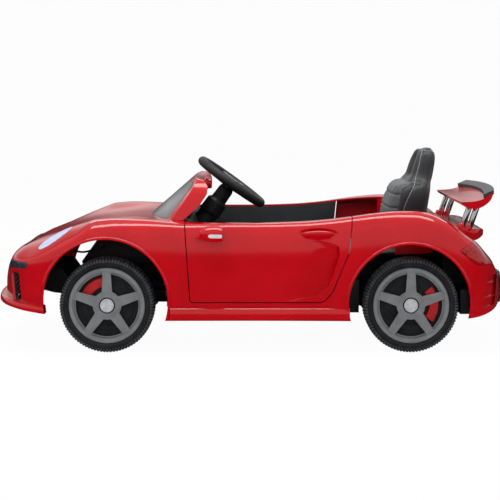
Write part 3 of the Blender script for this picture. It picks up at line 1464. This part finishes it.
def crowned_front(spots, tree):
    """Seat back whose front panel bulges between its bolsters, with the head rest's front drawn in."""
    x, y, z = spots.T
    front = np.array([front_x(level) for level in z])
    faced = []
    for spot in spots:
        start = Vector((before_seat, spot[1] * probe_share, spot[2])) * MM
        hit = tree.ray_cast(start, Vector((1, 0, 0)))[0]
        faced.append(hit.x / MM if hit else spot[0])
    behind = fading(x - np.array(faced), 0, fade_depth)
    bulge = front + bolster_rise * (np.abs(y) / seat_half) ** 2 - np.array(faced)
    on_head = fading(z, head_foot, head_run)
    shift = (bulge * (1 - on_head) + head_inset * on_head) * fading(z, panel_foot, panel_run)
    return np.column_stack([x + shift * (1 - behind), y, z])


def back_depth(spots, normals):
    """Depth of the seat back's channels, head crease and side seams at its points."""
    x, y, z = spots.T
    before_panel = np.array([panel_x(level) for level in z]) - x
    before_seam = np.array([seam_x(level) for level in z]) - x
    on_panel = fading(before_panel, 0, panel_fade) * (z < crease_level - panel_gap)
    lines = sum(groove(z - level, channel_wide) for level in channel_levels) * on_panel
    uprights = groove(np.abs(y) - channel_half, upright_wide) * (normals[:, 0] < faces_front) * on_panel
    border = groove(before_panel, upright_wide) * (z < crease_level) * (normals[:, 0] < faces_back)
    crease = groove(z - crease_level - crease_tilt * before_seam, crease_wide) * (before_seam > -crease_back)
    seams = groove(before_seam, seam_wide) * fading(np.abs(normals[:, 1]), side_tilt, tilt_run)
    channels = np.clip(lines + upright_share * uprights + border, 0, 1)
    return channel_depth * channels + crease_depth * crease + seam_depth * seams


def touching(pad, line, side):
    """Points of a line in the side view, dropped on to the pad's side."""
    tree = skin_tree(pad)
    spots = []
    for x, z in line:
        hit, normal, _, _ = tree.ray_cast(Vector((x, side * beside_seat, z)) * MM, Vector((0, -side, 0)))
        if hit:
            spots.append(hit + normal * stitch_lift * MM)
    return spots


def stitch():
    """One thick stitch, flattened and with rounded ends."""
    return strip_solid("stitch", [[(r * math.cos(a), stitch_flat * r * math.sin(a), h)
                                   for a in turns(stitch_points)] for h, r in stitch_profile])


def in_panel(face):
    """Whether a face of the seat back lies in its grey front panel."""
    spot = face.center / MM
    return spot.z < crease_level and spot.x < panel_x(spot.z)


back_pad = inflated("seat_back_pad", "seat_back", drawn=1.0, most=4.0, shape=crowned_front)
pulled_in(back_pad, back_depth)
shade(back_pad.data, soft_limit)
two_paints(back_pad, "seat_black", "seat_grey", in_panel)
place(back_pad, "body", None, "seat_cover", ["seat_back"])
seam_line = [(seam_x(z), z) for z in np.linspace(seam_foot, seam_top, seam_points)]
for side, word in sides:
    line = touching(back_pad, seam_line, side)
    row = repeated("seat_stitches_" + word, along_line, stitch(), "thread", line, Spacing=stitch_spacing * MM)
    shade(row.data)
    place(row, "body", "thread", "seat_cover")
print("seat back", len(back_pad.data.polygons))

# %% Seat cushion
cushion_channels, cushion_wide, cushion_deep = (-74, 0, 74), 3.0, 2.6
top_tilt = 0.3


def cushion_depth(spots, normals):
    """Depth of the cushion's channels, on its top only."""
    channels = sum(groove(spots[:, 1] - y, cushion_wide) for y in cushion_channels)
    return cushion_deep * fading(normals[:, 2], top_tilt, tilt_run) * np.clip(channels, 0, 1)


cushion_pad = inflated("seat_cushion_pad", "seat_cushion", drawn=3.0, most=5.0)
pulled_in(cushion_pad, cushion_depth)
shade(cushion_pad.data, soft_limit)
place(cushion_pad, "body", "seat_grey", "seat_cover", ["seat_cushion"])
print("seat cushion", len(cushion_pad.data.polygons))

# %% [markdown]
# ## Pieces that keep the solid's shape
#
# These only get their edges rounded and their finish, because modelling them again would add nothing. What
# nobody sees, such as the motors inside the tub, keeps the plain solid with a finish on it.

# %% Mouldings with the finish and the edge radius of each
glass_tilt = 0.75
mouldings = {
    "windshield": ("panel", 0.8), "windshield_frame": ("red", 0), "rear_view_mirror": ("red", 0.6),
    "dashboard": ("soft_black", 0.8), "column_shroud": ("black", 0.8), "steering_wheel": ("soft_black", 0.8),
    "steering_trim": ("silver", 0.5), "horn_button": ("gloss_black", 0.3), "start_button": ("button", 0.3),
    "direction_rocker": ("gloss_black", 0.4), "chassis_tub": ("black", 0.8), "front_beam": ("black", 0.8),
    "steering_gearbox": ("black", 0.8), "engine_cover": ("red", 0.6), "wing": ("red", 0),
    "wing_flap": ("flap", 0.6), "wing_posts": ("chrome", 0.4), "rear_trim": ("black", 1.0),
    "tail_lamps": ("tail", 0.5),
    "marker_strips": ("dark_lens", 0.5), "grilles": ("black", 0.4),
    "pedal": ("black", 0.5), "door_liner_right": ("soft_black", 0.8), "door_liner_left": ("soft_black", 0.8),
    "mirror_right": ("red", 0.6), "mirror_left": ("red", 0.6),
}
for corner in ("front_left", "front_right", "rear_left", "rear_right"):
    mouldings["cover_" + corner] = ("grey", 0.9)
    mouldings["brake_" + corner] = ("caliper", 0.6)
    mouldings["cap_" + corner] = ("cap", 0.4)
for node, (paint, edge) in mouldings.items():
    moulded(node, paint, edge)
rear_view = bpy.data.objects["rear_view_mirror_moulding"]
two_paints(rear_view, "red", "gloss_black", lambda face: face.normal.x > glass_tilt)
print("mouldings", len(mouldings))

# %% Hidden parts
hidden = {"steering_shaft": "steel", "drop_arm": "steel", "tie_rod": "steel", "knuckle_left": "steel",
          "knuckle_right": "steel", "rear_axle": "steel", "drive_gearboxes": "black", "drive_motors": "steel",
          "battery": "black", "control_box": "black"}
for node, paint in hidden.items():
    paint_node(node, paint)
print("hidden parts", len(hidden))

# %% [markdown]
# ## Headlights, nose plates, post feet and mirror markers
#
# Small pieces have to lie on the body's skin. Shrinkwrap could pull them on to it, but their edges would
# wander. Headlights and nose plates are layers of the skin itself, cut to their outlines. Post feet and
# mirror markers find their places with straight lines that are dropped on to the finished pieces.

# %% Headlights
lamp_stations = spread([(-485, 0), (-360, 2.5)])
lens_oval, border_outer, border_inner, bowl_oval = (40, 20), (43.4, 23.4), (40.2, 20.2), (43, 23)
border_proud, bowl_gap, bowl_deep = 0.4, 0.4, 6


def lamp_layer(name, near, far, outer, inner=None):
    """A layer of both headlights between two depths of the skin, inside one oval and outside another."""
    layers = []
    for side, _ in sides:
        layer = carve(skin_block(name, lamp_stations, near, far), [lamp_block(side, *outer)], "INTERSECT")
        if inner:
            carve(layer, [lamp_block(side, *inner)])
        layers.append(layer)
    pair = joined(*layers)
    shade(pair.data)
    return pair


lens_slot = slot_of_node("headlight_lenses")
bowl_slot = slot_of_node("headlight_bowls")
lenses = lamp_layer("headlight_lens_covers", 0, wall, lens_oval)
place(lenses, "body", "lens", lens_slot, ["headlight_lenses"])
borders = lamp_layer("headlight_borders", -border_proud, wall, border_outer, border_inner)
place(borders, "body", "white", lens_slot)
bowls = lamp_layer("headlight_bowl_shells", wall + bowl_gap, wall + bowl_deep, bowl_oval)
place(bowls, "body", "white", bowl_slot, ["headlight_bowls"])
print("headlights on", len(lamp_stations), "stations")

# %% Plates behind the grilles
plate_near, plate_far, plate_overlap = 10, 12, 2
plate_stations = spread([(nose_x, 0), (nose_x + 12, 2), (nose_x + 110, 4)])
windows = [prism(rounded(grown(mouth_outline, plate_overlap)), nose_spot(1), *mouth_span),
           prism(rounded(grown(vent_outline, plate_overlap)), top_spot, *vent_span)]
for side, _ in sides:
    windows.append(prism(rounded(grown(intake_outline, plate_overlap)), nose_spot(side), *intake_span))
plates = [carve(skin_block("grille_backs", plate_stations, plate_near, plate_far), [window], "INTERSECT")
          for window in windows]
grille_backs = joined(*plates)
shade(grille_backs.data)
place(grille_backs, "body", "black", slot_of_node("grilles"))
print("plates behind the grilles", len(plates))

# %% Feet of the wing's posts
engine_cover = bpy.data.objects["engine_cover_moulding"]
post_y, post_lean, above_deck = 177.0, math.radians(18.4), 330
post_places = (446.4, 462.4)
foot_profile, foot_points = [(-4, 8.4), (1, 8.6), (4, 8.2), (6, 7.6), (7, 7.0)], 32


def drop_on(piece, start, way):
    """Where a straight line first meets a piece, in metres; the line's start is in millimetres."""
    return skin_tree(piece).ray_cast(Vector(start) * MM, Vector(way))[0]


def post_foot(side, x):
    """Red round foot that a wing post stands in."""
    lean = Vector((math.sin(post_lean), 0, math.cos(post_lean)))
    hits = [drop_on(piece, (x, side * post_y, above_deck), (0, 0, -1)) for piece in (body, engine_cover)]
    top = max((hit for hit in hits if hit), key=lambda hit: hit.z) / MM
    across, level = Vector((0, 1, 0)), lean.cross(Vector((0, 1, 0)))
    return strip_solid("foot", [[top + lean * rise + (across * math.cos(a) + level * math.sin(a)) * r
                                 for a in turns(foot_points)] for rise, r in foot_profile])


feet = [post_foot(side, x) for side, _ in sides for x in post_places]
feet[0].name = feet[0].data.name = "wing_post_feet"
joined(*feet)
shade(feet[0].data)
place(feet[0], "body", "red", "red_plastic")
print("post feet", len(feet))

# %% Markers on the door mirrors
marker_start, marker_long, marker_half, marker_steps = -91, 30, 4.0, 16
marker_level, marker_slope, marker_middle_x, end_narrowing = 251.5, 0.02, -76, 0.55
marker_proud, marker_sunk, marker_lines = 0.5, 1.0, (-1, -0.4, 0.4, 1)


def mirror_strip(side, word):
    """Pale marker on the outer face of a door mirror, lying on its skin."""
    shell = bpy.data.objects["mirror_" + word + "_moulding"]
    middle = marker_steps // 2
    rows = []
    for k in range(marker_steps + 1):
        x = marker_start + marker_long * k / marker_steps
        half = marker_half * (1 - abs(k - middle) ** 6 / middle ** 6 * end_narrowing)
        level = marker_level - marker_slope * (x - marker_middle_x)
        hits = [drop_on(shell, (x, side * side_reach, level + half * t), (0, -side, 0)) for t in marker_lines]
        if all(hits):
            rows.append([(h.x / MM, h.y / MM + side * lift, h.z / MM)
                         for lift, line in ((marker_proud, hits), (-marker_sunk, hits[::-1])) for h in line])
    strip = strip_solid("mirror_strip_" + word, rows)
    shade(strip.data)
    place(strip, "door_" + word, "white", slot_of_node("mirror_" + word))


for side, word in sides:
    mirror_strip(side, word)
print("mirror markers", len(sides))
